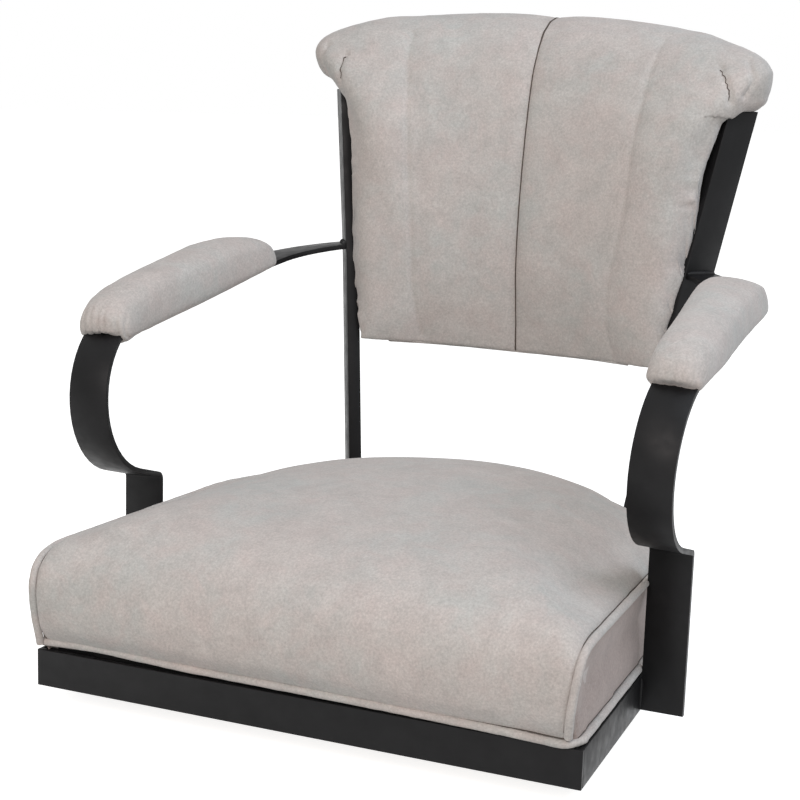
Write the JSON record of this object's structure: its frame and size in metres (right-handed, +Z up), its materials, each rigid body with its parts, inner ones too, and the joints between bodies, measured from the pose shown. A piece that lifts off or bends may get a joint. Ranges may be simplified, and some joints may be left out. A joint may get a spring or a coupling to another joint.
{
  "type": "swivel counter stool seat",
  "caption": "Upholstered counter stool seat with a scrolled channelled back and padded arms on bent flat bar, turning on a swivel plate.",
  "frame": {"origin": "on the swivel axis, at the underside of the lower swivel plate", "axes": "+Z up along the swivel axis; -Y towards the front, where the sitter's knees are; +X to the right of someone who looks at the front"},
  "size_m": [0.586, 0.6442, 0.6047],
  "materials": {
    "nubuck_fabric": "brushed nap",
    "black_powder_coat": "satin fine texture",
    "bright_steel": "turned",
    "zinc_plate": "zinc plated",
    "white_acetal": "matte",
    "plywood": "bare"
  },
  "bodies": {
    "swivel_base": {"lower_swivel_plate": "zinc_plate", "swivel_boss": "bright_steel", "thrust_ring": "white_acetal", "pivot_stud": "bright_steel", "pivot_washer": "bright_steel"},
    "seat": {"upper_swivel_plate": "zinc_plate", "front_strap": "black_powder_coat", "rear_strap": "black_powder_coat", "swivel_bolt_front_left": "zinc_plate", "swivel_bolt_front_right": "zinc_plate", "swivel_bolt_rear_right": "zinc_plate", "swivel_bolt_rear_left": "zinc_plate", "swivel_nut_front_left": "zinc_plate", "swivel_nut_front_right": "zinc_plate", "swivel_nut_rear_right": "zinc_plate", "swivel_nut_rear_left": "zinc_plate", "front_rail": "black_powder_coat", "rear_rail": "black_powder_coat", "left_rail": "black_powder_coat", "right_rail": "black_powder_coat", "front_left_gusset": "black_powder_coat", "front_right_gusset": "black_powder_coat", "rear_left_tab": "black_powder_coat", "rear_right_tab": "black_powder_coat", "board_screw_front_left": "zinc_plate", "board_screw_front_right": "zinc_plate", "board_screw_rear_right": "zinc_plate", "board_screw_rear_left": "zinc_plate", "seat_board": "plywood", "seat_cushion": "nubuck_fabric", "seat_base_welt": "nubuck_fabric", "seat_top_welt": "nubuck_fabric", "left_upright": "black_powder_coat", "right_upright": "black_powder_coat", "lower_back_bar": "black_powder_coat", "upper_back_bar": "black_powder_coat", "back_board": "plywood", "back_cover": "nubuck_fabric", "back_cushion": "nubuck_fabric", "back_screw_lower_left": "zinc_plate", "back_screw_lower_right": "zinc_plate", "back_screw_upper_left": "zinc_plate", "back_screw_upper_right": "zinc_plate", "left_arm_strap": "black_powder_coat", "left_pad_board": "plywood", "left_arm_pad": "nubuck_fabric", "pad_screw_left_front": "zinc_plate", "pad_screw_left_rear": "zinc_plate", "left_arm_weld": "black_powder_coat", "left_leg_weld": "black_powder_coat", "right_arm_strap": "black_powder_coat", "right_pad_board": "plywood", "right_arm_pad": "nubuck_fabric", "pad_screw_right_front": "zinc_plate", "pad_screw_right_rear": "zinc_plate", "right_arm_weld": "black_powder_coat", "right_leg_weld": "black_powder_coat"}
  },
  "joints": [
    {"name": "seat_swivel", "type": "hinge", "parent": "swivel_base", "child": "seat", "pos_m": [0, 0, 0], "axis": [0, 0, 1], "continuous": true}
  ]
}
